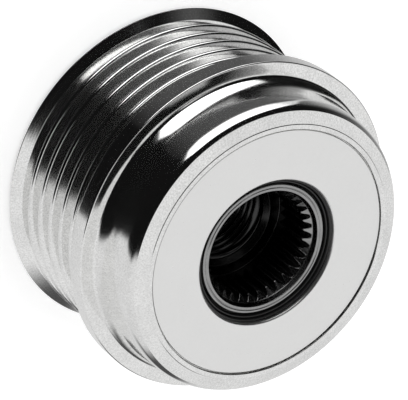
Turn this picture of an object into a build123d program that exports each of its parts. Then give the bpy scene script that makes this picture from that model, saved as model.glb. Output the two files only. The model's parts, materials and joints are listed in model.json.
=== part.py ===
from build123d import *
import math
import os

# Overrunning pulley of a car alternator, standing on the rear end of its hub.
# Z is the shaft axis and points to the front, where the cover plate and the tool socket are.
# All sizes are in millimetres.

# Hub, from its shaft thread outwards
thread_radius = 8.0
thread_runout = 0.9
pilot_step = 0.5
pilot_depth = 9.0
pilot_chamfer = 0.6
hub_recess = 1.4
hub_end_wall = 1.2
hub_end_chamfer = 0.25
hub_shoulder_height = 1.9
hub_rear_chamfer = 0.6
hub_stand_off = 1.0

# Serrated tool socket in the front of the hub
socket_depth = 9.35
socket_step = 1.6
mouth_step = 0.5
mouth_taper = 0.35
mouth_depth = 1.05
tooth_count = 33
tooth_depth = 1.2
tooth_space_at_root = 0.6
tooth_space_at_tip = 1.45
tooth_end_slope = 1.0
relief_step = 0.2
relief_length = 2.4

# Both ball bearings
bearing_section = 11.0
ball_diameter = 5.5
ball_count = 11
ball_gap = 0.05
race_conformity = 0.52
ring_overhang = 1.25
ring_space = 3.2
ring_chamfer = 0.5
cage_thickness = 2.0
cage_end_gap = 0.4
cage_prong_length = 1.3
cage_pocket_gap = 0.2

# Rubber disc that closes the rear bearing
disc_thickness = 0.8
disc_recess = 0.1
disc_seat = 0.6
disc_running_gap = 0.1

# Belt grooves of the PK section
groove_count = 6
groove_pitch = 3.56
groove_angle = 40.0
groove_depth = 3.2
groove_floor_width = 0.5
groove_wall = 2.8
first_groove = 2.48

# Flanges and nose of the pulley
rear_flange_height = 1.4
rear_flange_width = 1.2
front_flange_height = 3.7
front_flange_width = 3.45
flange_chamfer = 0.3
nose_length = 11.1
nose_wall = 4.2
nose_shoulder_drop = 1.7
nose_shoulder_radius = 3.2
nose_edge_inset = 0.75
nose_edge_drop = 0.68
nose_flare_width = 1.0
nose_flare_height = 1.6
nose_flare_radius = 4.5
front_lip_width = 0.9
front_lip_step = 0.1
lip_bevel_width = 0.1
lip_bevel_depth = 0.1
rear_lip_width = 1.4
rear_lip_height = 2.5
rear_lip_chamfer = 0.4

# Front cover plate with its turned-back rim
plate_step = 0.2
plate_thickness = 1.6
plate_recess = 0.25
plate_edge_chamfer = 0.2
plate_hole_gap = 1.4
plate_rim_width = 2.2
plate_rim_length = 1.55

# Rubber seal under the cover plate
seal_end_gap = 0.35
seal_running_gap = 0.08
seal_lip_height = 0.75
seal_lip_depth = 0.15
seal_bead_width = 0.5
seal_bead_round = 0.2
seal_valley_width = 0.4
seal_valley_depth = 0.45
seal_lip_slope = 1.3

# Roller clutch between the bearings
washer_thickness = 0.8
washer_gap = 0.4
sleeve_wall = 2.9
roller_count = 10
roller_diameter = 4.0
roller_gap = 0.05
roller_end_room = 1.8
ramp_angle = 8.0
ramp_ring_drop = 0.55
ramp_before_roller = 0.6
ramp_after_roller = 1.4
clutch_cage_gap = 0.15
clutch_cage_running_gap = 0.35
clutch_cage_end_gap = 0.1
window_before_roller = 0.3
window_after_roller = 3.2
window_end_gap = 0.2

# Folded leaf spring behind each clutch roller
spring_thickness = 0.25
spring_end_room = 1.5
spring_legs = 4
spring_end_gap = 0.2
spring_side_gap = 0.35

# Radii, from the shaft thread out to the flanges
pilot_radius = thread_radius + pilot_step
tooth_tip_radius = thread_radius + socket_step
tooth_root_radius = tooth_tip_radius + tooth_depth
relief_radius = tooth_root_radius + relief_step
mouth_radius = tooth_root_radius + mouth_step
journal_radius = mouth_radius + hub_end_wall
hub_shoulder_radius = journal_radius + hub_shoulder_height
plate_hole_radius = journal_radius + plate_hole_gap
housing_radius = journal_radius + bearing_section
rear_lip_opening = housing_radius - rear_lip_height
plate_rim_bore = housing_radius - plate_rim_width
plate_radius = housing_radius + plate_step
nose_radius = plate_radius + nose_wall
front_flange_radius = nose_radius + front_flange_height
groove_floor_radius = housing_radius + groove_wall
crest_radius = groove_floor_radius + groove_depth
rear_flange_radius = crest_radius + rear_flange_height

# Radii inside the bearings
ball_radius = ball_diameter / 2
ball_circle = (journal_radius + housing_radius) / 2
race_radius = race_conformity * ball_diameter
inner_ring_radius = ball_circle - ring_space / 2
outer_ring_bore = ball_circle + ring_space / 2
disc_seat_radius = outer_ring_bore + disc_seat
washer_radius = outer_ring_bore - washer_gap

# Radii inside the clutch
sleeve_bore_radius = housing_radius - sleeve_wall
roller_radius = roller_diameter / 2
roller_circle = sleeve_bore_radius - roller_gap - roller_radius
ramp_ring_radius = roller_circle - ramp_ring_drop
clutch_cage_inner_radius = ramp_ring_radius + clutch_cage_gap
clutch_cage_outer_radius = sleeve_bore_radius - clutch_cage_running_gap
window_start = -roller_radius - window_before_roller
window_end = roller_radius + window_after_roller

# Heights of the outside, from the rear end of the hub
groove_slope = math.tan(math.radians(groove_angle / 2))
last_floor_edge = hub_stand_off + first_groove + (groove_count - 1) * groove_pitch + groove_floor_width / 2
front_flange_rear = last_floor_edge + (front_flange_radius - groove_floor_radius) * groove_slope
front_flange_face = front_flange_rear + front_flange_width
pulley_front = front_flange_face + nose_length
plate_front = pulley_front - plate_recess
plate_rear = plate_front - plate_thickness
hub_front = plate_front - hub_recess
socket_floor = hub_front - socket_depth
relief_floor = socket_floor - relief_length

# Heights of the stack inside, from both ends to the clutch
bearing_width = ball_diameter + 2 * ring_overhang
shoulder_top = hub_stand_off + rear_lip_width
rear_bearing_top = shoulder_top + bearing_width
clutch_bottom = rear_bearing_top + washer_thickness
front_bearing_top = plate_rear - plate_rim_length
front_bearing_bottom = front_bearing_top - bearing_width
clutch_top = front_bearing_bottom - washer_thickness
clutch_middle = (clutch_bottom + clutch_top) / 2
ramp_ring_length = clutch_top - clutch_bottom
roller_length = ramp_ring_length - 2 * roller_end_room
spring_length = roller_length - 2 * spring_end_room

# How far a cutter runs past what it cuts
cut_overrun = 1.0


def turned(*corners):
    """A solid turned about Z, from the corners of its half section.

    Each corner is (radius, height), or (radius, height, fillet) where it is rounded.
    """
    points = [corner[:2] for corner in corners]
    fillets = [corner[2] if len(corner) > 2 else 0 for corner in corners]
    outline = FilletPolyline(*points, radius=fillets, close=True)
    return revolve(Plane.XZ * make_face(outline), Axis.Z)


def belt_groove_corners():
    """Corners of the grooves, from the floor of the first to the floor of the last."""
    floor_half = groove_floor_width / 2
    mouth_half = floor_half + groove_depth * groove_slope
    corners = []
    for index in range(groove_count):
        middle = hub_stand_off + first_groove + index * groove_pitch
        corners += [
            (crest_radius, middle - mouth_half),
            (groove_floor_radius, middle - floor_half),
            (groove_floor_radius, middle + floor_half),
            (crest_radius, middle + mouth_half),
        ]
    # The outer flanks of the first and last groove run on into the flanges
    return corners[1:-1]


def make_grooved_pulley():
    """One turned shell: rear flange, belt grooves, front flange and the nose that holds the plate.

    The nose flares out to the flange face, and its front falls away from the lip around the plate.
    """
    return turned(
        (rear_lip_opening + rear_lip_chamfer, hub_stand_off),
        (rear_flange_radius - flange_chamfer, hub_stand_off),
        (rear_flange_radius, hub_stand_off + flange_chamfer),
        (rear_flange_radius, hub_stand_off + rear_flange_width),
        *belt_groove_corners(),
        (front_flange_radius, front_flange_rear),
        (front_flange_radius, front_flange_face - flange_chamfer),
        (front_flange_radius - flange_chamfer, front_flange_face),
        (nose_radius + nose_flare_width, front_flange_face),
        (nose_radius, front_flange_face + nose_flare_height, nose_flare_radius),
        (nose_radius, pulley_front - nose_shoulder_drop, nose_shoulder_radius),
        (nose_radius - nose_edge_inset, pulley_front - nose_edge_drop),
        (plate_radius + front_lip_width + front_lip_step, pulley_front - front_lip_step),
        (plate_radius + front_lip_width, pulley_front),
        (plate_radius + lip_bevel_width, pulley_front),
        (plate_radius, pulley_front - lip_bevel_depth),
        (plate_radius, plate_rear),
        (housing_radius, plate_rear),
        (housing_radius, shoulder_top),
        (rear_lip_opening, shoulder_top),
        (rear_lip_opening, hub_stand_off + rear_lip_chamfer),
    )


def make_front_cover_plate():
    """The pressed plate that closes the nose. Its rim bears on the front bearing's outer ring."""
    return turned(
        (plate_hole_radius, plate_rear),
        (plate_rim_bore, plate_rear),
        (plate_rim_bore, front_bearing_top),
        (housing_radius, front_bearing_top),
        (housing_radius, plate_rear),
        (plate_radius, plate_rear),
        (plate_radius, plate_front - plate_edge_chamfer),
        (plate_radius - plate_edge_chamfer, plate_front),
        (plate_hole_radius + plate_edge_chamfer, plate_front),
        (plate_hole_radius, plate_front - plate_edge_chamfer),
    )


def make_front_lip_seal():
    """Rubber ring bonded under the plate, with a beaded lip that runs on the hub."""
    lip_radius = journal_radius + seal_running_gap
    bead_radius = lip_radius + seal_bead_width
    lip_top = plate_rear - seal_lip_depth
    body_bottom = front_bearing_top + seal_end_gap
    return turned(
        (plate_rim_bore, body_bottom),
        (plate_rim_bore, plate_rear),
        (plate_hole_radius, plate_rear),
        (plate_hole_radius - seal_valley_width, plate_rear - seal_valley_depth),
        (bead_radius, lip_top, seal_bead_round),
        (lip_radius, lip_top, seal_bead_round),
        (lip_radius, lip_top - seal_lip_height),
        (lip_radius + seal_lip_slope, body_bottom),
    )


def make_hub():
    """The sleeve that screws onto the shaft, with the serrated tool socket broached in its front."""
    throat_radius = mouth_radius - mouth_taper
    throat = hub_front - mouth_depth
    tooth_top = throat - tooth_end_slope * (throat_radius - tooth_tip_radius)
    blank = turned(
        (pilot_radius + pilot_chamfer, 0),
        (hub_shoulder_radius - hub_rear_chamfer, 0),
        (hub_shoulder_radius, hub_rear_chamfer),
        (hub_shoulder_radius, shoulder_top),
        (journal_radius, shoulder_top),
        (journal_radius, hub_front - hub_end_chamfer),
        (journal_radius - hub_end_chamfer, hub_front),
        (mouth_radius, hub_front),
        (throat_radius, throat),
        (tooth_tip_radius, tooth_top),
        (tooth_tip_radius, socket_floor),
        (relief_radius, socket_floor),
        (relief_radius, relief_floor),
        (thread_radius + thread_runout, relief_floor),
        (thread_radius, relief_floor - thread_runout),
        (thread_radius, pilot_depth),
        (pilot_radius, pilot_depth - pilot_step),
        (pilot_radius, pilot_chamfer),
    )
    return blank - tooth_spaces()


def tooth_spaces():
    """The V-shaped spaces between the socket's teeth, which are cut a little past the tooth tips."""
    slope = (tooth_space_at_tip - tooth_space_at_root) / (tooth_root_radius - tooth_tip_radius)
    inner_radius = tooth_tip_radius - cut_overrun
    inner_width = tooth_space_at_tip + slope * cut_overrun
    section = make_face(
        Polyline(
            (tooth_root_radius, tooth_space_at_root / 2),
            (tooth_root_radius, -tooth_space_at_root / 2),
            (inner_radius, -inner_width / 2),
            (inner_radius, inner_width / 2),
            close=True,
        )
    )
    space = extrude(Pos(0, 0, socket_floor) * section, socket_depth + cut_overrun)
    return PolarLocations(0, tooth_count) * space


def make_bearing_inner_ring(bottom):
    """Inner ring of a ball bearing, pressed on the hub's journal."""
    top = bottom + bearing_width
    ring = turned(
        (journal_radius, bottom + ring_chamfer),
        (journal_radius + ring_chamfer, bottom),
        (inner_ring_radius, bottom),
        (inner_ring_radius, top),
        (journal_radius + ring_chamfer, top),
        (journal_radius, top - ring_chamfer),
    )
    race_circle = ball_circle - ball_radius - ball_gap + race_radius
    return ring - Pos(0, 0, bottom + bearing_width / 2) * Torus(race_circle, race_radius)


def make_bearing_outer_ring(bottom, rear_seat):
    """Outer ring of a ball bearing, pressed in the pulley, with a step of rear_seat for a disc."""
    top = bottom + bearing_width
    seat_depth = disc_recess + disc_thickness
    ring = turned(
        (outer_ring_bore, bottom),
        (housing_radius - ring_chamfer, bottom),
        (housing_radius, bottom + ring_chamfer),
        (housing_radius, top - ring_chamfer),
        (housing_radius - ring_chamfer, top),
        (outer_ring_bore, top),
    )
    if rear_seat > 0:
        ring -= Pos(0, 0, bottom + seat_depth / 2) * Cylinder(outer_ring_bore + rear_seat, seat_depth)
    race_circle = ball_circle + ball_radius + ball_gap - race_radius
    return ring - Pos(0, 0, bottom + bearing_width / 2) * Torus(race_circle, race_radius)


def balls(middle, radius):
    """One ring of balls, or of the pockets that hold them, around a bearing's middle plane."""
    return PolarLocations(ball_circle, ball_count) * (Pos(0, 0, middle) * Sphere(radius))


def make_bearing_cage(middle, base_side):
    """Snap-in cage: a solid base ring on base_side (+1 front, -1 rear) and prongs between the balls."""
    inner_radius = ball_circle - cage_thickness / 2
    outer_radius = ball_circle + cage_thickness / 2
    base = middle + base_side * (bearing_width / 2 - cage_end_gap)
    prongs = middle - base_side * cage_prong_length
    ring = turned((inner_radius, base), (outer_radius, base), (outer_radius, prongs), (inner_radius, prongs))
    return ring - balls(middle, ball_radius + cage_pocket_gap)


def make_rear_bearing_seal():
    """Rubber disc in the step of the rear bearing's outer ring, just clear of the inner ring."""
    bottom = shoulder_top + disc_recess
    top = bottom + disc_thickness
    return turned(
        (inner_ring_radius + disc_running_gap, bottom),
        (disc_seat_radius, bottom),
        (disc_seat_radius, top),
        (inner_ring_radius + disc_running_gap, top),
    )


def make_spacer_washer(bottom):
    """Flat washer between a bearing's inner ring and the clutch's ramp ring."""
    top = bottom + washer_thickness
    return turned(
        (journal_radius, bottom),
        (washer_radius, bottom),
        (washer_radius, top),
        (journal_radius, top),
    )


def make_clutch_outer_sleeve():
    """Hardened sleeve in the pulley, between the outer rings, on which the rollers lock."""
    return turned(
        (sleeve_bore_radius, rear_bearing_top),
        (housing_radius, rear_bearing_top),
        (housing_radius, front_bearing_bottom),
        (sleeve_bore_radius, front_bearing_bottom),
    )


def make_clutch_ramp_ring():
    """Ring on the hub with one inclined flat under each roller."""
    blank = turned(
        (journal_radius, clutch_bottom),
        (ramp_ring_radius, clutch_bottom),
        (ramp_ring_radius, clutch_top),
        (journal_radius, clutch_top),
    )
    cut_width = roller_diameter + ramp_before_roller + ramp_after_roller
    cut_middle = (ramp_after_roller - ramp_before_roller) / 2
    cut_height = roller_diameter + cut_overrun
    cutter = Pos(cut_height / 2 - roller_radius - roller_gap, cut_middle, clutch_middle) * Box(
        cut_height, cut_width, ramp_ring_length + cut_overrun
    )
    return blank - PolarLocations(roller_circle, roller_count) * (Rot(0, 0, ramp_angle) * cutter)


def make_clutch_rollers():
    """The cylindrical rollers, each on its ramp."""
    roller = Pos(0, 0, clutch_middle) * Cylinder(roller_radius, roller_length)
    return PolarLocations(roller_circle, roller_count) * roller


def make_clutch_cage():
    """Cage around the ramp ring, with a window for each roller and its spring."""
    bottom = clutch_bottom + clutch_cage_end_gap
    top = clutch_top - clutch_cage_end_gap
    ring = turned(
        (clutch_cage_inner_radius, bottom),
        (clutch_cage_outer_radius, bottom),
        (clutch_cage_outer_radius, top),
        (clutch_cage_inner_radius, top),
    )
    window_middle = (window_start + window_end) / 2
    window = Pos(0, window_middle, clutch_middle) * Box(
        roller_diameter * 2, window_end - window_start, roller_length + 2 * window_end_gap
    )
    return ring - PolarLocations(roller_circle, roller_count) * window


def make_clutch_springs():
    """A strip folded to and fro across each window, which pushes the roller up its ramp."""
    low = clutch_cage_inner_radius + spring_side_gap
    high = clutch_cage_outer_radius - spring_side_gap
    start = window_end - spring_end_gap
    leg_step = (start - roller_radius - spring_end_gap - spring_thickness) / spring_legs
    folds = []
    for leg in range(spring_legs + 1):
        side = start - leg * leg_step
        fold_radius = high if leg % 2 else low
        folds.append((math.sqrt(fold_radius**2 - side**2) - roller_circle, side))
    strip = trace(Polyline(*folds), line_width=spring_thickness)
    spring = extrude(Pos(0, 0, clutch_middle - spring_length / 2) * strip, spring_length)
    return PolarLocations(roller_circle, roller_count) * spring


def save(name, *shapes):
    """Write one sub-part, as a group of solids where it has several."""
    solids = [solid for shape in shapes for solid in shape.solids()]
    part = solids[0] if len(solids) == 1 else Compound(children=solids)
    part.label = name
    export_step(part, os.path.join("parts", name + ".step"))


os.makedirs("parts", exist_ok=True)

rear_ball_plane = shoulder_top + bearing_width / 2
front_ball_plane = front_bearing_bottom + bearing_width / 2

save("grooved_pulley", make_grooved_pulley())
save("front_cover_plate", make_front_cover_plate())
save("front_lip_seal", make_front_lip_seal())
save("hub", make_hub())

save("front_bearing_inner_ring", make_bearing_inner_ring(front_bearing_bottom))
save("front_bearing_outer_ring", make_bearing_outer_ring(front_bearing_bottom, 0))
save("front_bearing_balls", *balls(front_ball_plane, ball_radius))
save("front_bearing_cage", make_bearing_cage(front_ball_plane, -1))

save("rear_bearing_inner_ring", make_bearing_inner_ring(shoulder_top))
save("rear_bearing_outer_ring", make_bearing_outer_ring(shoulder_top, disc_seat))
save("rear_bearing_balls", *balls(rear_ball_plane, ball_radius))
save("rear_bearing_cage", make_bearing_cage(rear_ball_plane, 1))
save("rear_bearing_seal", make_rear_bearing_seal())

save("rear_spacer_washer", make_spacer_washer(rear_bearing_top))
save("front_spacer_washer", make_spacer_washer(clutch_top))
save("clutch_outer_sleeve", make_clutch_outer_sleeve())
save("clutch_ramp_ring", make_clutch_ramp_ring())
save("clutch_rollers", *make_clutch_rollers())
save("clutch_cage", make_clutch_cage())
save("clutch_springs", *make_clutch_springs())
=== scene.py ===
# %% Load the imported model
import json
import math

import bpy
import numpy as np
from mathutils import Matrix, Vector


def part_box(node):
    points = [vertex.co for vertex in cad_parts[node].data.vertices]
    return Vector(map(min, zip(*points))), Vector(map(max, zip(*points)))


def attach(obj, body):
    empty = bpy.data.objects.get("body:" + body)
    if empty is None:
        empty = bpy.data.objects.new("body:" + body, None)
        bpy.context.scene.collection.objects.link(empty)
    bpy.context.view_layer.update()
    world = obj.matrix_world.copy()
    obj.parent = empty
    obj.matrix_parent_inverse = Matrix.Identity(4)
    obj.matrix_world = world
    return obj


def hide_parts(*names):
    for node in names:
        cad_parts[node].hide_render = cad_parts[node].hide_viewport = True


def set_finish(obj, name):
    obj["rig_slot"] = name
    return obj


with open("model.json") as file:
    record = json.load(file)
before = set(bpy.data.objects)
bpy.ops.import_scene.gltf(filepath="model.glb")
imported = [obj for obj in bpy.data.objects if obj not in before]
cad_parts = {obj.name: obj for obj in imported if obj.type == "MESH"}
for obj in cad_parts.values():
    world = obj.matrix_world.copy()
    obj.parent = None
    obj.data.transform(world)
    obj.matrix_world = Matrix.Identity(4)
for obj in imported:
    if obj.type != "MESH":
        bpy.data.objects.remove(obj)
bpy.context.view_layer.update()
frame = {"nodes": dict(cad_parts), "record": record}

MM = 0.001

# %% [markdown]
# ## What we are making
# The object is the overrunning pulley of a car alternator. It stands on the rear end of its hub, and its
# shaft axis is Z. Almost everything on it was made on a lathe, so almost every surface here is a half
# section carried once round the axis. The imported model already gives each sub-part its place and its
# sizes. We read those sizes from the boxes of its nodes, so our own surfaces land exactly where the
# solids are.

# %% Read the sizes from the nodes
def corners_mm(node):
    """Lowest and highest corner of a node's box, in millimetres."""
    low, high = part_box(node)
    return [value / MM for value in low], [value / MM for value in high]


def radius_mm(node):
    """Outer radius of a turned node: half its width across X."""
    low, high = corners_mm(node)
    return (high[0] - low[0]) / 2


pulley_rear = corners_mm("grooved_pulley")[0][2]
pulley_front = corners_mm("grooved_pulley")[1][2]
plate_front = corners_mm("front_cover_plate")[1][2]
bearing_top = corners_mm("front_bearing_outer_ring")[1][2]
bearing_floor = corners_mm("rear_bearing_outer_ring")[0][2]
hub_front = corners_mm("hub")[1][2]
flange_radius = radius_mm("grooved_pulley")
plate_radius = radius_mm("front_cover_plate")
housing_radius = radius_mm("clutch_outer_sleeve")
shoulder_radius = radius_mm("hub")
bearing_wall = 11.0
journal_radius = housing_radius - bearing_wall
print(f"pulley z {pulley_rear:.2f} to {pulley_front:.2f}")
print(f"flange r {flange_radius:.2f}, plate r {plate_radius:.2f}")

# %% [markdown]
# ## A half section with broken edges
# No edge on turned steel is perfectly sharp: the tool nose or a file leaves a small radius, and that
# radius is what catches the light. So each corner of a half section gets a radius here, even if it is
# only a few hundredths of a millimetre. Two extra points just outside each arc keep the flats flat when
# the mesh is shaded smooth, because the normals of a flat then never mix with those of the arc.

# %% Half sections
SHARP_FROM = 50


def rounded_section(corners, finest=0.05, keep=0.03):
    """Closed half section (radius, height) with an arc at each corner, all arcs worked out at once.

    At a corner with legs a and b, the arc's centre lies on the bisector at fillet / sin(half angle), and
    its points are the spherical mix of the two radii that touch the legs. An arc gets more steps the more
    it bends and the larger it is, from 2 to 14. keep is the distance of the guard points from the arc.
    """
    points = np.array([corner[:2] for corner in corners], float)
    fillet = np.array([max(corner[2], finest) for corner in corners])
    back = np.roll(points, 1, 0) - points
    ahead = np.roll(points, -1, 0) - points
    back /= np.linalg.norm(back, axis=1, keepdims=True)
    ahead /= np.linalg.norm(ahead, axis=1, keepdims=True)
    half = np.arccos(np.clip((back * ahead).sum(1), -1, 1)) / 2
    reach = fillet / np.tan(half)
    bisector = back + ahead
    bisector /= np.linalg.norm(bisector, axis=1, keepdims=True)
    centre = points + bisector * (fillet / np.sin(half))[:, None]
    first = points + back * reach[:, None] - centre
    last = points + ahead * reach[:, None] - centre
    bend = np.pi - 2 * half
    steps = np.clip(np.round(bend * (2.5 + 5 * np.sqrt(fillet))), 2, 14).astype(int)
    which = np.repeat(np.arange(len(points)), steps + 1)
    start = np.cumsum(steps + 1) - (steps + 1)
    share = (np.arange(len(which)) - start[which]) / steps[which]
    angle = bend[which]
    arc = np.sin((1 - share) * angle)[:, None] * first[which] + np.sin(share * angle)[:, None] * last[which]
    arc = centre[which] + arc / np.sin(angle)[:, None]
    before = points + back * (reach + keep)[:, None]
    after = points + ahead * (reach + keep)[:, None]
    slots = np.concatenate([which * 3 + 1, np.arange(len(points)) * 3, np.arange(len(points)) * 3 + 2])
    order = np.argsort(slots, kind="stable")
    return np.concatenate([arc, before, after])[order]


def grid_faces(rows, columns):
    """Quads of a grid closed both ways, wound so that a section drawn anticlockwise faces outwards."""
    row, column = np.meshgrid(np.arange(rows), np.arange(columns), indexing="ij")
    down = (row + 1) % rows
    right = (column + 1) % columns
    quads = [row * columns + column, row * columns + right, down * columns + right, down * columns + column]
    return np.stack(quads, -1).reshape(-1, 4)


def mesh_piece(name, vertices_mm, faces, body, slot, *nodes):
    """A finished piece from vertices in millimetres and lists of corners.

    It rides on a body, has a material slot and stands for the nodes named. Edges that bend by more than
    SHARP_FROM degrees are shaded sharp.
    """
    mesh = bpy.data.meshes.new(name)
    mesh.from_pydata((vertices_mm.reshape(-1, 3) * MM).tolist(), [], faces)
    mesh.polygons.foreach_set("use_smooth", np.ones(len(mesh.polygons), bool))
    mesh.set_sharp_from_angle(angle=math.radians(SHARP_FROM))
    mesh.update()
    piece = bpy.data.objects.new(name, mesh)
    bpy.context.scene.collection.objects.link(piece)
    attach(piece, body)
    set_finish(piece, slot)
    if nodes:
        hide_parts(*nodes)
    print(name, len(mesh.vertices), "vertices", len(mesh.polygons), "faces")
    return piece


def turned_surface(section, columns):
    """Each point (r, z) of the section goes to (r cos a, r sin a, z), for all angles a at once."""
    angle = np.linspace(0, 2 * np.pi, columns, endpoint=False)
    radius, height = section[:, :1], section[:, 1:]
    flat = np.zeros_like(angle)
    return np.stack([radius * np.cos(angle), radius * np.sin(angle), height + flat], -1)


def turned_piece(name, corners, body, slot, *nodes, columns=216):
    """A turned piece from the corners (radius, height, fillet) of its half section."""
    section = rounded_section(corners)
    vertices = turned_surface(section, columns)
    faces = grid_faces(len(section), columns).tolist()
    return mesh_piece(name, vertices, faces, body, slot, *nodes)


# %% [markdown]
# ## The grooved pulley
# On the real part this is one steel blank: a thin rear flange, six V grooves for the belt, a broad front
# flange and the smooth nose. The grooves are cut by a form tool with a small nose radius, so their floors
# are round, and the crests between them are rounded so that they don't cut the belt. Near its rim the
# rear flange's front side bends into a blunter cone. The nose isn't a plain cylinder either: large radii
# lead from the front flange's face into it and from it over to the lip, and they give the long soft
# highlights. We write one anticlockwise half section and turn it. A boolean of six cutters would give the
# same form, but its mesh would be far harder to shade.

# %% Sizes of the grooved pulley
groove_count, groove_pitch, groove_depth = 6, 3.56, 3.2
groove_floor, groove_slope = 0.25, math.tan(math.radians(20))
floor_radius = housing_radius + 2.8
crest_radius = floor_radius + groove_depth
first_groove = pulley_rear + 2.48
crest_round, floor_round = 0.46, 0.18
rear_radius, rim_height = crest_radius + 1.4, 0.24
rear_cone_depth, rear_cone_height = 1.8, 1.085
flange_foot = first_groove + (groove_count - 1) * groove_pitch
flange_foot += groove_floor + (flange_radius - floor_radius) * groove_slope
flange_face = pulley_front - 11.1
nose_radius = plate_radius + 4.2
lip_land = 0.1
plate_rear = plate_front - 1.6
rear_bore, rear_chamfer = housing_radius - 2.5, 0.4
print(f"{groove_count} grooves, crest r {crest_radius:.2f}, floor r {floor_radius:.2f}")


def groove_corners():
    """Corners of the six grooves in order, four to a groove; the outermost two belong to the flanges."""
    middle = (first_groove + groove_pitch * np.arange(groove_count))[:, None]
    mouth = groove_floor + groove_depth * groove_slope
    height = (middle + np.array([-mouth, -groove_floor, groove_floor, mouth])).ravel()
    radius = np.tile([crest_radius, floor_radius, floor_radius, crest_radius], groove_count)
    fillet = np.tile([crest_round, floor_round, floor_round, crest_round], groove_count)
    return list(zip(radius, height, fillet))[1:-1]


# %% Grooved pulley
rear_flange = [
    (rear_bore + rear_chamfer, pulley_rear, 0.1),
    (rear_radius - 0.12, pulley_rear, 0.06),
    (rear_radius, pulley_rear + 0.1, 0.03),
    (rear_radius, pulley_rear + rim_height, 0.05),
    (rear_radius - rear_cone_depth, pulley_rear + rim_height + rear_cone_height, 0.4),
]
front_flange = [
    (flange_radius, flange_foot, 0.22),
    (flange_radius, flange_face, 0.25),
]
nose = [
    (nose_radius + 1.18, flange_face, 0.05),
    (nose_radius + 0.84, flange_face + 0.29, 0.9),
    (nose_radius + 0.18, flange_face + 1.64, 5.7),
    (nose_radius, flange_face + 3.7, 22.0),
    (nose_radius, pulley_front - 2.8, 5.6),
    (nose_radius - 0.33, pulley_front - 1.6, 1.6),
    (nose_radius - 0.96, pulley_front - 0.85, 0.1),
]
lip = [
    (plate_radius + 1.0, pulley_front - lip_land, 0.04),
    (plate_radius + 0.9, pulley_front, 0.06),
    (plate_radius + 0.1, pulley_front, 0.08),
    (plate_radius, pulley_front - lip_land, 0.05),
    (plate_radius, plate_rear, 0.05),
]
bearing_bore = [
    (housing_radius, plate_rear, 0.05),
    (housing_radius, bearing_floor, 0.1),
    (rear_bore, bearing_floor, 0.1),
    (rear_bore, pulley_rear + rear_chamfer, 0.1),
]
pulley = turned_piece(
    "pulley_shell",
    [*rear_flange, *groove_corners(), *front_flange, *nose, *lip, *bearing_bore],
    "pulley",
    "plated_steel",
    "grooved_pulley",
)

# %% [markdown]
# ## The cover plate and its rubber seal
# The plate is stamped from sheet, so the edge of its hole is rolled in a little on the punch side and its
# rim is pressed back against the bearing. The black ring inside its hole is a rubber lip bonded under it.
# The lip has a bead that runs on the hub and a valley behind it, which the light draws as two thin rings.

# %% Cover plate and seal
hole_radius = journal_radius + 1.4
rim_bore = housing_radius - 2.2
edge_step, edge_gap = 0.8, 0.2
plate = turned_piece(
    "cover_plate",
    [
        (hole_radius, plate_rear, 0.05),
        (rim_bore, plate_rear, 0.3),
        (rim_bore, bearing_top, 0.08),
        (housing_radius, bearing_top, 0.15),
        (housing_radius, plate_rear, 0.02),
        (plate_radius, plate_rear, 0.02),
        (plate_radius, plate_rear + edge_step, 0.05),
        (plate_radius - edge_gap, plate_rear + edge_step, 0.05),
        (plate_radius - edge_gap, plate_front, 0.12),
        (hole_radius, plate_front, 0.45),
    ],
    "pulley",
    "cover_steel",
    "front_cover_plate",
)

lip_radius = journal_radius + 0.08
seal_rear = bearing_top + 0.35
seal = turned_piece(
    "lip_seal",
    [
        (lip_radius + 1.3, seal_rear, 0.05),
        (rim_bore, seal_rear, 0.05),
        (rim_bore, plate_rear, 0.02),
        (hole_radius, plate_rear + 0.75, 0.05),
        (hole_radius - 0.42, plate_rear + 0.8, 0.2),
        (hole_radius - 0.5, plate_rear - 0.25, 0.1),
        (lip_radius + 0.75, plate_rear - 0.15, 0.08),
        (lip_radius + 0.72, plate_rear + 0.35, 0.15),
        (lip_radius + 0.4, plate_rear + 0.3, 0.12),
        (lip_radius + 0.32, plate_rear - 0.6, 0.1),
        (lip_radius, plate_rear - 0.75, 0.05),
        (lip_radius, plate_rear - 1.0, 0.05),
    ],
    "pulley",
    "seal_rubber",
    "front_lip_seal",
    columns=180,
)

# %% [markdown]
# ## The hub's serrated socket
# In the front of the hub 33 small teeth are broached, which a splined key grips while the shaft thread is
# tightened. The teeth are the one thing here that isn't turned. Seen along the axis, the wall of the
# socket is a radius that changes with the angle. A power of the angle gives a space with a round root and
# nearly straight sides, and a smooth minimum cuts it off to the flat tip of the tooth.

# %% Tooth outline of the socket
tooth_count, tip_radius, root_radius = 33, journal_radius - 2.9, journal_radius - 1.7
space_share, space_power, tip_blend = 0.8, 2.2, 0.012


def tooth_outline():
    """Angles and radii of the socket wall, from the middle of a space to the next one's, 33 times.

    With u = (share of half a pitch / space_share) ** space_power, the wall falls from root_radius by the
    tooth depth times the smaller of u and 1. The smooth minimum (u + 1 - sqrt((u - 1)^2 + blend)) / 2
    rounds the edges of the tooth.
    """
    share = np.array([0, 0.14, 0.28, 0.42, 0.54, 0.64, 0.71, 0.77, 0.82, 0.87, 0.93, 1])
    fall = (share / space_share) ** space_power
    fall = (fall + 1 - np.sqrt((fall - 1) ** 2 + tip_blend)) / 2
    half_pitch = np.pi / tooth_count
    angle = np.concatenate([share, 2 - share[-2:0:-1]]) * half_pitch
    wall = root_radius - (root_radius - tip_radius) * np.concatenate([fall, fall[-2:0:-1]])
    middle = np.arange(tooth_count)[:, None] * 2 * half_pitch
    return (middle + angle).ravel(), np.tile(wall, tooth_count)


print(f"{tooth_count} teeth, tip r {tip_radius:.2f}, root r {root_radius:.2f}")

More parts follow.
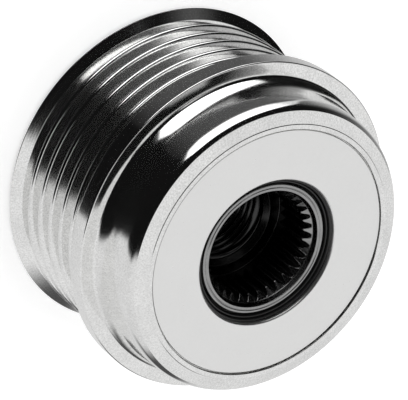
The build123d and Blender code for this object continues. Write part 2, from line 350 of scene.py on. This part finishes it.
# %% [markdown]
# ## The hub
# The hub is a sleeve. Behind, a smooth bore takes the shaft, then comes its thread, and in front the
# toothed socket. The whole hub can be one grid: rows run along the half section and columns run round.
# In the socket's rows the radius comes from the tooth outline, and where the cone of the mouth meets the
# wall the height does too. The tooth ends are rounded by a large radius, and the front ring has a fine
# turned groove in its middle.

# %% Hub
pilot_radius, pilot_top, end_chamfer = 8.5, 8.5, 0.6
thread_wall, thread_chamfer = 8.0, 0.9
thread_floor = pilot_top + pilot_radius - thread_wall
mouth_radius = root_radius + 0.5
ring_middle = (mouth_radius + journal_radius) / 2
ring_groove, ring_groove_depth = 0.14, 0.12
throat_radius, throat = mouth_radius - 0.35, hub_front - 1.05
tooth_top, tooth_end_round = throat - (throat_radius - tip_radius), 1.1
socket_floor = hub_front - 9.35
relief_radius = root_radius + 0.2
relief_floor = socket_floor - 2.4
end_reach, foot_reach = 0.6, 0.2


def hub_grid():
    """Rows of (radius, height) along the half section for every column, turned to points (x, y, z)."""
    angle, wall = tooth_outline()
    outside = rounded_section(
        [
            (pilot_radius + end_chamfer, 0, 0.08),
            (shoulder_radius - end_chamfer, 0, 0.12),
            (shoulder_radius, end_chamfer, 0.12),
            (shoulder_radius, bearing_floor, 0.1),
            (journal_radius, bearing_floor, 0.1),
            (journal_radius, hub_front, 0.2),
            (ring_middle + ring_groove, hub_front, 0.05),
            (ring_middle, hub_front - ring_groove_depth, 0.05),
            (ring_middle - ring_groove, hub_front, 0.05),
            (mouth_radius, hub_front, 0.12),
            (throat_radius, throat, 0.5),
            (tip_radius, tooth_top, tooth_end_round),
            (tip_radius, socket_floor, 0.03),
            (relief_radius, socket_floor, 0.05),
            (relief_radius, relief_floor, 0.25),
            (thread_wall + thread_chamfer, relief_floor, 0.06),
            (thread_wall, relief_floor - thread_chamfer, 0.06),
            (thread_wall, thread_floor, 0.05),
            (pilot_radius, pilot_top, 0.05),
            (pilot_radius, end_chamfer, 0.05),
        ]
    )
    radius = np.repeat(outside[:, :1], len(angle), 1)
    height = np.repeat(outside[:, 1:], len(angle), 1)
    at_end = np.abs(outside - [tip_radius, tooth_top]).max(1) < end_reach
    at_foot = np.abs(outside - [tip_radius, socket_floor]).max(1) < foot_reach
    shift = wall - tip_radius
    # The tooth ends are cut at 45 degrees, so their edge rises as much as the wall moves out
    radius[at_end] += shift
    height[at_end] += shift
    radius[at_foot] += shift
    return np.stack([radius * np.cos(angle), radius * np.sin(angle), height], -1)


hub_vertices = hub_grid()
hub_faces = grid_faces(*hub_vertices.shape[:2]).tolist()
hub = mesh_piece("hub_sleeve", hub_vertices, hub_faces, "hub", "hub_steel", "hub")

# %% [markdown]
# ## The shaft thread
# The solid hub has a plain bore at the thread's outer radius. The thread itself is a ridge with a
# trapezoid section, 60 degrees between its flanks, that climbs 1.5 mm for each turn. It is a grid of two
# parameters: how far along the helix, and where on the section. Its height fades to nothing in the last
# third of a turn at either end, as a cutting tool leaves it. Two many-sided faces close its ends.

# %% Thread ridge
thread_pitch, thread_crest, run_out = 1.5, 7.19, 0.3
thread_start, thread_end = thread_floor + 0.3, relief_floor - 1.3


def thread_ridge(per_turn=72):
    """Point (s, k): corner k of the section, moved along the helix to turn s and up by s pitches."""
    turns = (thread_end - thread_start) / thread_pitch
    along = np.linspace(0, turns, int(turns * per_turn))
    fade = np.clip(np.minimum(along, turns - along) / run_out, 0.02, 1)
    depth = thread_wall - thread_crest
    inward = np.array([-0.08, 0, 0.5, 0.93, 1, 1, 0.93, 0.5, 0, -0.08]) * depth
    flank = depth * math.tan(math.radians(30))
    across = np.array([-1, -1, -0.5, -0.05, 0.12, -0.12, 0.05, 0.5, 1, 1]) * flank
    across += np.repeat([-1, 1], 5) * thread_pitch / 8
    radius = thread_wall - inward[None, :] * np.where(inward > 0, fade[:, None], 1)
    height = thread_start + along[:, None] * thread_pitch + across[None, :] * fade[:, None]
    angle = along[:, None] * 2 * np.pi
    return np.stack([radius * np.cos(angle), radius * np.sin(angle), height + 0 * angle], -1)


thread_vertices = thread_ridge()
rows, columns = thread_vertices.shape[:2]
thread_faces = grid_faces(rows, columns)[: (rows - 1) * columns].tolist()
last_row = (rows - 1) * columns
thread_faces.append(list(range(columns)))
thread_faces.append(list(range(last_row + columns - 1, last_row - 1, -1)))
thread = mesh_piece("shaft_thread", thread_vertices, thread_faces, "hub", "hub_steel")
print("thread turns", round((thread_end - thread_start) / thread_pitch, 2))

# %% [markdown]
# ## Patterns that several finishes share
# Two things make turned and plated steel look real: the fine rings that the tool leaves, and the cloudy
# grain of the zinc on top of them. Both are node groups that read Object coordinates. The rings are a noise
# of radius and height only, so they run round the axis on a face and on a cylinder alike. The grain is a
# fine noise for the skin and a broad one for its clouds. A group only gives out values; the shader stays in
# each material.

# %% Node helpers
def add(tree, kind, inputs=None, **settings):
    """A node of this kind with its settings, and with values or links for its inputs."""
    node = tree.nodes.new(kind)
    for key, value in settings.items():
        setattr(node, key, value)
    for key, value in (inputs or {}).items():
        if isinstance(value, bpy.types.NodeSocket):
            tree.links.new(value, node.inputs[key])
        else:
            node.inputs[key].default_value = value
    return node


def maths(tree, operation, *values):
    """Result of one Math node on numbers or sockets."""
    return add(tree, "ShaderNodeMath", dict(enumerate(values)), operation=operation).outputs[0]


def new_group(name, inputs, outputs):
    """An empty shader group with float inputs (name: default) and float outputs."""
    group = bpy.data.node_groups.new(name, "ShaderNodeTree")
    for key, value in inputs.items():
        socket = group.interface.new_socket(key, in_out="INPUT", socket_type="NodeSocketFloat")
        socket.default_value = value
    for key in outputs:
        group.interface.new_socket(key, in_out="OUTPUT", socket_type="NodeSocketFloat")
    return group, group.nodes.new("NodeGroupInput").outputs, group.nodes.new("NodeGroupOutput").inputs


# %% Shared groups
rings, ring_in, ring_out = new_group(
    "turning_rings", {"Spacing": 0.0002, "Unevenness": 0.5}, ["Height", "Tone"]
)
place = add(rings, "ShaderNodeSeparateXYZ", {0: add(rings, "ShaderNodeTexCoord").outputs["Object"]})
across = maths(rings, "MULTIPLY", place.outputs["X"], place.outputs["X"])
across = maths(rings, "SQRT", maths(rings, "MULTIPLY_ADD", place.outputs["Y"], place.outputs["Y"], across))
count = maths(rings, "DIVIDE", 1.0, ring_in["Spacing"])
ring_place = add(rings, "ShaderNodeCombineXYZ", {
    "X": maths(rings, "MULTIPLY", across, count),
    "Y": maths(rings, "MULTIPLY", place.outputs["Z"], count),
}).outputs[0]
fine = add(rings, "ShaderNodeTexNoise", {
    "Vector": ring_place, "Scale": 1.0, "Detail": 2.0,
}, noise_dimensions="2D")
broad = add(rings, "ShaderNodeTexNoise", {
    "Vector": ring_place, "Scale": 0.13, "Detail": 1.0,
}, noise_dimensions="2D")
mixed = add(rings, "ShaderNodeMix", {
    0: ring_in["Unevenness"], 2: fine.outputs["Fac"], 3: broad.outputs["Fac"],
}).outputs[0]
rings.links.new(fine.outputs["Fac"], ring_out["Height"])
rings.links.new(mixed, ring_out["Tone"])

grain, grain_in, grain_out = new_group(
    "plating_grain", {"Size": 0.0004, "Seed": 0.0}, ["Height", "Cloud"]
)
spot = add(grain, "ShaderNodeVectorMath", {
    0: add(grain, "ShaderNodeTexCoord").outputs["Object"],
    "Scale": maths(grain, "DIVIDE", 1.0, grain_in["Size"]),
}, operation="SCALE").outputs[0]
small = add(grain, "ShaderNodeTexNoise", {
    "Vector": spot, "W": grain_in["Seed"], "Scale": 1.0, "Detail": 3.0, "Roughness": 0.6,
}, noise_dimensions="4D")
cloud = add(grain, "ShaderNodeTexNoise", {
    "Vector": spot, "W": grain_in["Seed"], "Scale": 0.07, "Detail": 4.0, "Roughness": 0.55,
}, noise_dimensions="4D")
grain.links.new(small.outputs["Fac"], grain_out["Height"])
grain.links.new(cloud.outputs["Fac"], grain_out["Cloud"])
print("shared groups:", rings.name, grain.name)

# %% [markdown]
# ## Metal finishes
# Each metal is the same recipe with other numbers: a base colour that the grain clouds slightly, a roughness
# that rings and grain move up and down, and a bump from both. The numbers say how it was made. The pulley is
# bright zinc over turned steel, the plate is smooth rolled sheet, the hub is dark and oily, the bearing
# rings are ground.

# %% Recipe of a metal
NOISE_LOW, NOISE_HIGH = 0.3, 0.7


def swing(tree, value, middle, amount, layers=1):
    """A value that moves by amount to either side of middle, as a noise or a sum of noises varies.

    Nearly all of a noise lies between NOISE_LOW and NOISE_HIGH, and that range becomes middle - amount to
    middle + amount. layers says how many noises the value is the sum of.
    """
    return add(tree, "ShaderNodeMapRange", {
        "Value": value, "From Min": NOISE_LOW * layers, "From Max": NOISE_HIGH * layers,
        "To Min": middle - amount, "To Max": middle + amount,
    }).outputs[0]


def new_material(name):
    """An empty material, with its node tree and its Principled shader."""
    material = bpy.data.materials.new(name)
    material.use_nodes = True
    return material, material.node_tree, material.node_tree.nodes["Principled BSDF"]


def metal(name, colour, roughness, spread, ring_size, ring_bump, grain_size, grain_bump,
          cloudiness, speckle, seed=0.0):
    """A turned or rolled metal. Sizes and bump distances are in metres.

    Cloudiness and speckle are the shares by which the broad and the fine grain move the colour, and spread
    is how far rings and grain move the roughness.
    """
    material, tree, shader = new_material(name)
    ring = add(tree, "ShaderNodeGroup", node_tree=rings)
    ring.inputs["Spacing"].default_value = ring_size
    speck = add(tree, "ShaderNodeGroup", node_tree=grain)
    speck.inputs["Size"].default_value = grain_size
    speck.inputs["Seed"].default_value = seed
    broad = swing(tree, speck.outputs["Cloud"], 1, cloudiness)
    narrow = swing(tree, speck.outputs["Height"], 1, speckle)
    light = maths(tree, "MULTIPLY", broad, narrow)
    grey = add(tree, "ShaderNodeCombineColor", {0: light, 1: light, 2: light}).outputs[0]
    tint = add(tree, "ShaderNodeMix", {
        0: 1.0, 6: (*colour, 1.0), 7: grey,
    }, data_type="RGBA", blend_type="MULTIPLY")
    both = maths(tree, "ADD", ring.outputs["Tone"], speck.outputs["Height"])
    gloss = swing(tree, both, roughness, spread, layers=2)
    ring_normal = add(tree, "ShaderNodeBump", {
        "Strength": 1.0, "Distance": ring_bump, "Height": ring.outputs["Height"],
    })
    grain_normal = add(tree, "ShaderNodeBump", {
        "Strength": 1.0, "Distance": grain_bump, "Height": speck.outputs["Height"],
        "Normal": ring_normal.outputs[0],
    })
    tree.links.new(tint.outputs[2], shader.inputs["Base Color"])
    tree.links.new(gloss, shader.inputs["Roughness"])
    tree.links.new(grain_normal.outputs[0], shader.inputs["Normal"])
    shader.inputs["Metallic"].default_value = 1.0
    return material


# %% The five metals
plated = metal(
    "bright_zinc_plating", (0.86, 0.86, 0.853), roughness=0.1, spread=0.03,
    ring_size=0.00022, ring_bump=1.5e-6, grain_size=0.0003, grain_bump=1.3e-6,
    cloudiness=0.05, speckle=0.14,
)
sheet = metal(
    "satin_plated_sheet", (0.885, 0.885, 0.878), roughness=0.3, spread=0.03,
    ring_size=0.0004, ring_bump=0.3e-6, grain_size=0.0005, grain_bump=0.4e-6,
    cloudiness=0.01, speckle=0.01, seed=3.0,
)
ground = metal(
    "ground_bearing_steel", (0.78, 0.78, 0.79), roughness=0.16, spread=0.04,
    ring_size=0.00015, ring_bump=1.2e-6, grain_size=0.0003, grain_bump=0.8e-6,
    cloudiness=0.04, speckle=0.02, seed=7.0,
)
strip = metal(
    "rolled_spring_strip", (0.65, 0.65, 0.66), roughness=0.25, spread=0.05,
    ring_size=0.0003, ring_bump=0.5e-6, grain_size=0.0003, grain_bump=1.0e-6,
    cloudiness=0.06, speckle=0.03, seed=9.0,
)
dark_steel = metal(
    "dark_steel_painted_socket_shade", (0.35, 0.35, 0.35), roughness=0.2, spread=0.05,
    ring_size=0.00025, ring_bump=1.5e-6, grain_size=0.0002, grain_bump=2.5e-6,
    cloudiness=0.1, speckle=0.12, seed=5.0,
)
print("metals:", plated.name, sheet.name, ground.name, strip.name, dark_steel.name)

# %% [markdown]
# ## Painted shade inside the hub
# The socket is a deep, narrow recess, and its shade is painted into the colour: the socket gets darker the
# deeper one looks. A darker copy of the finish would need a second slot with a hard edge between the two. So
# the colour itself changes with the height: below the tooth ends it goes over to black, only inside the
# socket's mouth, and not on the hub's rear end face, which keeps its own colour.

# %% Painted shade in the hub
shade_colour = 0.06
shade_radius = throat_radius + 0.05
shade_starts, shade_full = tooth_top + 0.3, tooth_top - 5.0
unshaded_end, shaded_from = 0.4, 2.0

tree = dark_steel.node_tree
shader = tree.nodes["Principled BSDF"]
place = add(tree, "ShaderNodeSeparateXYZ", {0: add(tree, "ShaderNodeTexCoord").outputs["Object"]}).outputs
across = maths(tree, "MULTIPLY_ADD", place["X"], place["X"], maths(tree, "MULTIPLY", place["Y"], place["Y"]))
inner = maths(tree, "LESS_THAN", across, (shade_radius * MM) ** 2)
deep = add(tree, "ShaderNodeMapRange", {
    "Value": place["Z"], "From Min": shade_starts * MM, "From Max": shade_full * MM,
}, interpolation_type="SMOOTHSTEP").outputs[0]
clear = add(tree, "ShaderNodeMapRange", {
    "Value": place["Z"], "From Min": unshaded_end * MM, "From Max": shaded_from * MM,
}).outputs[0]
# Painted shade: deep in the socket the colour goes over to black, for the shade in the recess
painted_shade = maths(tree, "MULTIPLY", maths(tree, "MULTIPLY", inner, deep), clear)
own_colour = shader.inputs["Base Color"].links[0].from_socket
shaded_colour = add(tree, "ShaderNodeMix", {
    0: painted_shade, 6: own_colour, 7: (shade_colour, shade_colour, shade_colour, 1.0),
}, data_type="RGBA").outputs[2]
tree.links.new(shaded_colour, shader.inputs["Base Color"])
print(f"oil from z {shade_starts:.2f} down to full black at {shade_full:.2f}")

# %% [markdown]
# ## Rubber and plastic
# The seals are moulded nitrile rubber and the cages moulded plastic. Neither has tool marks, only the skin
# of the mould, so one short recipe serves both: a plain colour with faint clouds, a matt surface and a
# shallow grain.

# %% Rubber and plastic finishes
def moulded(name, colour, roughness, spread, grain_size, grain_bump, cloudiness, seed):
    """Moulded rubber or plastic: a matt colour, slightly clouded, with a fine skin."""
    material, tree, shader = new_material(name)
    speck = add(tree, "ShaderNodeGroup", node_tree=grain)
    speck.inputs["Size"].default_value = grain_size
    speck.inputs["Seed"].default_value = seed
    dim = [value * (1 - cloudiness) for value in colour]
    pale = [value * (1 + cloudiness) for value in colour]
    tint = add(tree, "ShaderNodeMix", {
        0: speck.outputs["Cloud"], 6: (*dim, 1.0), 7: (*pale, 1.0),
    }, data_type="RGBA")
    gloss = swing(tree, speck.outputs["Height"], roughness, spread)
    skin = add(tree, "ShaderNodeBump", {
        "Strength": 1.0, "Distance": grain_bump, "Height": speck.outputs["Height"],
    })
    tree.links.new(tint.outputs[2], shader.inputs["Base Color"])
    tree.links.new(gloss, shader.inputs["Roughness"])
    tree.links.new(skin.outputs[0], shader.inputs["Normal"])
    return material


rubber = moulded(
    "nitrile_rubber", (0.008, 0.008, 0.008), roughness=0.32, spread=0.06,
    grain_size=0.0002, grain_bump=1.5e-6, cloudiness=0.3, seed=2.0,
)
polyamide = moulded(
    "moulded_polyamide", (0.35, 0.3, 0.2), roughness=0.45, spread=0.06,
    grain_size=0.0003, grain_bump=2.0e-6, cloudiness=0.12, seed=4.0,
)
print("moulded:", rubber.name, polyamide.name)

# %% [markdown]
# ## Dressing the pieces
# Every piece has a material slot that says what it is made of. One table from slot to finish dresses our own
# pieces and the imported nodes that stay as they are, such as the balls and the rollers, so two pieces of one
# material can't end up with different finishes.

# %% Dress every piece and every node that stays
FINISH_OF_SLOT = {
    "plated_steel": plated,
    "cover_steel": sheet,
    "hub_steel": dark_steel,
    "seal_rubber": rubber,
    "bearing_steel": ground,
    "cage_plastic": polyamide,
    "spring_steel": strip,
}
for piece in (pulley, plate, seal, hub, thread):
    piece.data.materials.append(FINISH_OF_SLOT[piece["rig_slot"]])
for row in frame["record"]["subparts"]:
    for held in frame["nodes"][row["node"]].material_slots:
        held.material = FINISH_OF_SLOT[row["material_slot"]]

# %% [markdown]
# ## Floor
# A photographer's white sweep. Its paper is a pale matt colour, and the camera sees a little extra strength
# on it, which lifts it to white without putting any more light on the object. The object's own soft shadow
# stays. Mirror rays pass through the paper, so the metal shows the tent below the horizon, except in a small
# disc round the hub's foot.

# %% Floor
floor_size = 3.0
paper_lift = 0.33
solid_disc = 14.5
edge = floor_size / 2
floor_corners = [(-edge, -edge, 0), (edge, -edge, 0), (edge, edge, 0), (-edge, edge, 0)]
floor_mesh = bpy.data.meshes.new("floor")
floor_mesh.from_pydata(floor_corners, [], [(0, 1, 2, 3)])
floor = bpy.data.objects.new("floor", floor_mesh)
bpy.context.scene.collection.objects.link(floor)

paper, tree, shader = new_material("white_paper")
shader.inputs["Base Color"].default_value = (0.9, 0.9, 0.9, 1.0)
shader.inputs["Roughness"].default_value = 1.0
shader.inputs["Specular IOR Level"].default_value = 0.0
shader.inputs["Emission Color"].default_value = (1.0, 1.0, 1.0, 1.0)
rays = add(tree, "ShaderNodeLightPath").outputs
lift = maths(tree, "MULTIPLY", rays["Is Camera Ray"], paper_lift)
tree.links.new(lift, shader.inputs["Emission Strength"])
spot = add(tree, "ShaderNodeTexCoord").outputs["Object"]
distance = add(tree, "ShaderNodeVectorMath", {0: spot}, operation="LENGTH").outputs["Value"]
outside = maths(tree, "GREATER_THAN", distance, solid_disc * MM)
passing = maths(tree, "MULTIPLY", outside, rays["Is Glossy Ray"])
empty = add(tree, "ShaderNodeBsdfTransparent").outputs[0]
both = add(tree, "ShaderNodeMixShader", {0: passing, 1: shader.outputs[0], 2: empty})
tree.links.new(both.outputs[0], tree.nodes["Material Output"].inputs["Surface"])
floor_mesh.materials.append(paper)
print("floor", floor_size, "m")

# %% [markdown]
# ## The light tent
# Bright metal has hardly any colour of its own: it shows what stands around it. Here that is a pale tent
# with one large dark card, a bright white card under it, a low card under both that goes from pale to black
# over the turn, a small window in the dark card, a dim card on the far side and darkness straight below.
# Real cards could be modelled and lit, but a world shader can be exactly such a tent, because it only
# depends on the direction in which a ray leaves. A direction is given as its turn round the upright axis,
# in degrees, with 0 at minus Y, and its rise above the horizon. Diffuse rays get a plain white tent, so a
# colour renders as it is written; only mirror rays meet the cards.

# %% Edges of the cards over the turn
DARK_TOP = [
    (-180, -60), (-165, -46), (-157, -20), (-150, 12), (-144, 26), (-138, 37), (-132, 46), (-126, 55),
    (-120, 65), (-114, 73), (-108, 77), (-20, 80), (0, 88), (20, 88), (32, 78), (40, 70), (48, 64),
    (58, 56), (62, 20), (64, -89), (180, -89),
]
DARK_BOTTOM = [
    (-180, -60), (-165, -46), (-123, -44), (-112, -40), (-104, -34), (-94, -22), (-86, -10), (-80, -2),
    (-74, 4), (-66, 9), (-58, 12), (-42, 15), (-25, 16), (-18, 10), (-12, -10), (-10, -89), (180, -89),
]
WHITE_BOTTOM = [
    (-180, -47), (-130, -46), (-115, -43), (-104, -38), (-92, -36), (-30, -36.5), (-20, -31),
    (-13, -16), (-10, 0), (180, 0),
]
LOW_LIGHT = [
    (-180, 0.62), (-150, 0.58), (-134, 0.46), (-120, 0.32), (-108, 0.16), (-98, 0.1), (-60, 0.085),
    (-35, 0.07), (-22, 0.04), (-8, 0.008), (180, 0.008),
]
tent_low, tent_high = 0.73, 0.81
white_light, window_light = 1.8, 0.6
dark_light, far_light, under_light = 0.006, 0.08, 0.04

# %% Directions and helpers of the tent
world = bpy.data.worlds.new("light_tent")
bpy.context.scene.world = world
world.use_nodes = True
tree = world.node_tree
tree.nodes.clear()
degrees = 180 / math.pi
way = add(tree, "ShaderNodeSeparateXYZ", {0: add(tree, "ShaderNodeTexCoord").outputs["Generated"]})
turn = maths(tree, "ARCTAN2", way.outputs["X"], maths(tree, "MULTIPLY", way.outputs["Y"], -1.0))
turn = maths(tree, "MULTIPLY", turn, degrees)
rise = maths(tree, "MULTIPLY", maths(tree, "ARCSINE", way.outputs["Z"]), degrees)


def over_turn(points, low, high):
    """A value over the turn: a Float Curve through (turn, value) points, with values from low to high."""
    node = add(tree, "ShaderNodeFloatCurve", {"Value": maths(tree, "MULTIPLY_ADD", turn, 1 / 360, 0.5)})
    curve = node.mapping.curves[0]
    for _ in points[2:]:
        curve.points.new(0.5, 0.5)
    for point, (at_turn, value) in zip(curve.points, points):
        point.location = (at_turn / 360 + 0.5, (value - low) / (high - low))
        point.handle_type = "VECTOR"
    node.mapping.update()
    return maths(tree, "MULTIPLY_ADD", node.outputs[0], high - low, low)


def smooth(value, start, end, first, last):
    """first before start and last after end, with a smooth passage between."""
    return add(tree, "ShaderNodeMapRange", {
        "Value": value, "From Min": start, "From Max": end, "To Min": first, "To Max": last,
    }, interpolation_type="SMOOTHSTEP").outputs[0]


def step(value, start, end):
    """0 before start and 1 after end."""
    return smooth(value, start, end, 0.0, 1.0)


def drop(value, start, end):
    """1 before start and 0 after end."""
    return smooth(value, start, end, 1.0, 0.0)


def inside(*masks):
    """All masks at once: their product."""
    result = masks[0]
    for mask in masks[1:]:
        result = maths(tree, "MULTIPLY", result, mask)
    return result


def paint(under, over, mask):
    """over where the mask is 1, under where it is 0."""
    return add(tree, "ShaderNodeMix", {0: mask, 2: under, 3: over}).outputs[0]


# %% Tent with cards
# Every pair of numbers in step and drop is the start and the end of a soft edge, in degrees
above_top = maths(tree, "SUBTRACT", rise, over_turn(DARK_TOP, -90, 90))
above_bottom = maths(tree, "SUBTRACT", rise, over_turn(DARK_BOTTOM, -90, 90))
above_white = maths(tree, "SUBTRACT", rise, over_turn(WHITE_BOTTOM, -90, 90))
low_light = over_turn(LOW_LIGHT, 0, 1)

# The edge at which the dark card and the low card end stands at a turn of about 57 degrees. From 50 degrees
# below the horizon on down it bends in.
below = maths(tree, "MAXIMUM", maths(tree, "MULTIPLY_ADD", rise, -1.0, -50.0), 0.0)
corner = drop(maths(tree, "MULTIPLY_ADD", below, 2.0, turn), 53, 61)

tent = paint(tent_low, tent_high, step(rise, -20, 60))
low = inside(drop(turn, 58, 66), drop(above_white, -1.5, 1.5), corner)
tent = paint(tent, low_light, low)

white_card = inside(
    step(turn, -98, -74), drop(turn, -20, -8), step(above_white, -4, 8), drop(above_bottom, -4, 3)
)
tent = paint(tent, white_light, white_card)

# At its far end the dark card fades to the low card's light, but stays dark from 12 to 32 degrees up
dark_card = inside(step(above_bottom, -2, 2), drop(above_top, -3, 3), corner)
faded = inside(drop(turn, -106, -88), maths(tree, "MAXIMUM", drop(rise, -42, 12), step(rise, 32, 47)))
tent = paint(tent, paint(dark_light, low_light, faded), dark_card)

window = inside(step(turn, -79, -71), drop(turn, -45, -37), step(rise, 40, 46), drop(rise, 50, 55))
tent = paint(tent, window_light, window)

far_card = inside(step(turn, 112, 126), drop(turn, 138, 152), step(rise, -42, -28), drop(rise, 20, 34))
tent = paint(tent, far_light, far_card)
tent = paint(tent, under_light, drop(rise, -72, -60))

mirror = add(tree, "ShaderNodeBackground", {"Color": (1, 1, 1, 1), "Strength": tent})
plain = add(tree, "ShaderNodeBackground", {"Color": (1, 1, 1, 1), "Strength": 1.0})
which = add(tree, "ShaderNodeLightPath").outputs["Is Glossy Ray"]
choice = add(tree, "ShaderNodeMixShader", {0: which, 1: plain.outputs[0], 2: mirror.outputs[0]})
add(tree, "ShaderNodeOutputWorld", {"Surface": choice.outputs[0]})
world.cycles.sampling_method = "NONE"
print("tent with", len(DARK_TOP) + len(DARK_BOTTOM) + len(WHITE_BOTTOM), "edge points")

# %% [markdown]
# ## Camera
# The ellipses of the plate and of the flanges fix the view. Fitting them gave three things: the direction of
# the shaft axis as the camera sees it, where the centre of the plate lies in front of the lens, and a long
# lens. We only have to turn that round: the camera's own axes, written in the frame of the part, are the
# rows of the matrix whose columns are the part's axes as the camera sees them. How far the part is turned
# about its shaft stays free, so it is set such that the teeth fall where they do in the photograph.

# %% Camera
shaft_seen = np.array([0.5292693, -0.4225046, 0.7357743])
plate_seen = np.array([0.4705282, -0.3886387, -30.4380496]) * plate_radius * MM
focal_pixels, image_width = 4136.0, 408
part_turn = math.radians(149.6)

shaft_seen /= np.linalg.norm(shaft_seen)
upward = np.array([0.0, 1.0, 0.0]) - shaft_seen[1] * shaft_seen
upward /= np.linalg.norm(upward)
sideways = np.cross(shaft_seen, upward)
seen_x = math.cos(part_turn) * upward + math.sin(part_turn) * sideways
seen_y = np.cross(shaft_seen, seen_x)
camera_axes = np.stack([seen_x, seen_y, shaft_seen], 1).T
camera_place = np.array([0, 0, plate_front * MM]) - camera_axes @ plate_seen

camera_data = bpy.data.cameras.new("camera")
camera = bpy.data.objects.new("camera", camera_data)
bpy.context.scene.collection.objects.link(camera)
matrix = np.eye(4)
matrix[:3, :3] = camera_axes
matrix[:3, 3] = camera_place
camera.matrix_world = Matrix(matrix.tolist())
camera_data.sensor_width = 36.0
camera_data.lens = focal_pixels / image_width * camera_data.sensor_width
camera_data.clip_start, camera_data.clip_end = 0.05, 20.0
bpy.context.scene.camera = camera
bpy.context.scene.view_settings.view_transform = "Standard"
print("camera at", [round(value, 4) for value in camera_place.tolist()], "lens", round(camera_data.lens, 1))
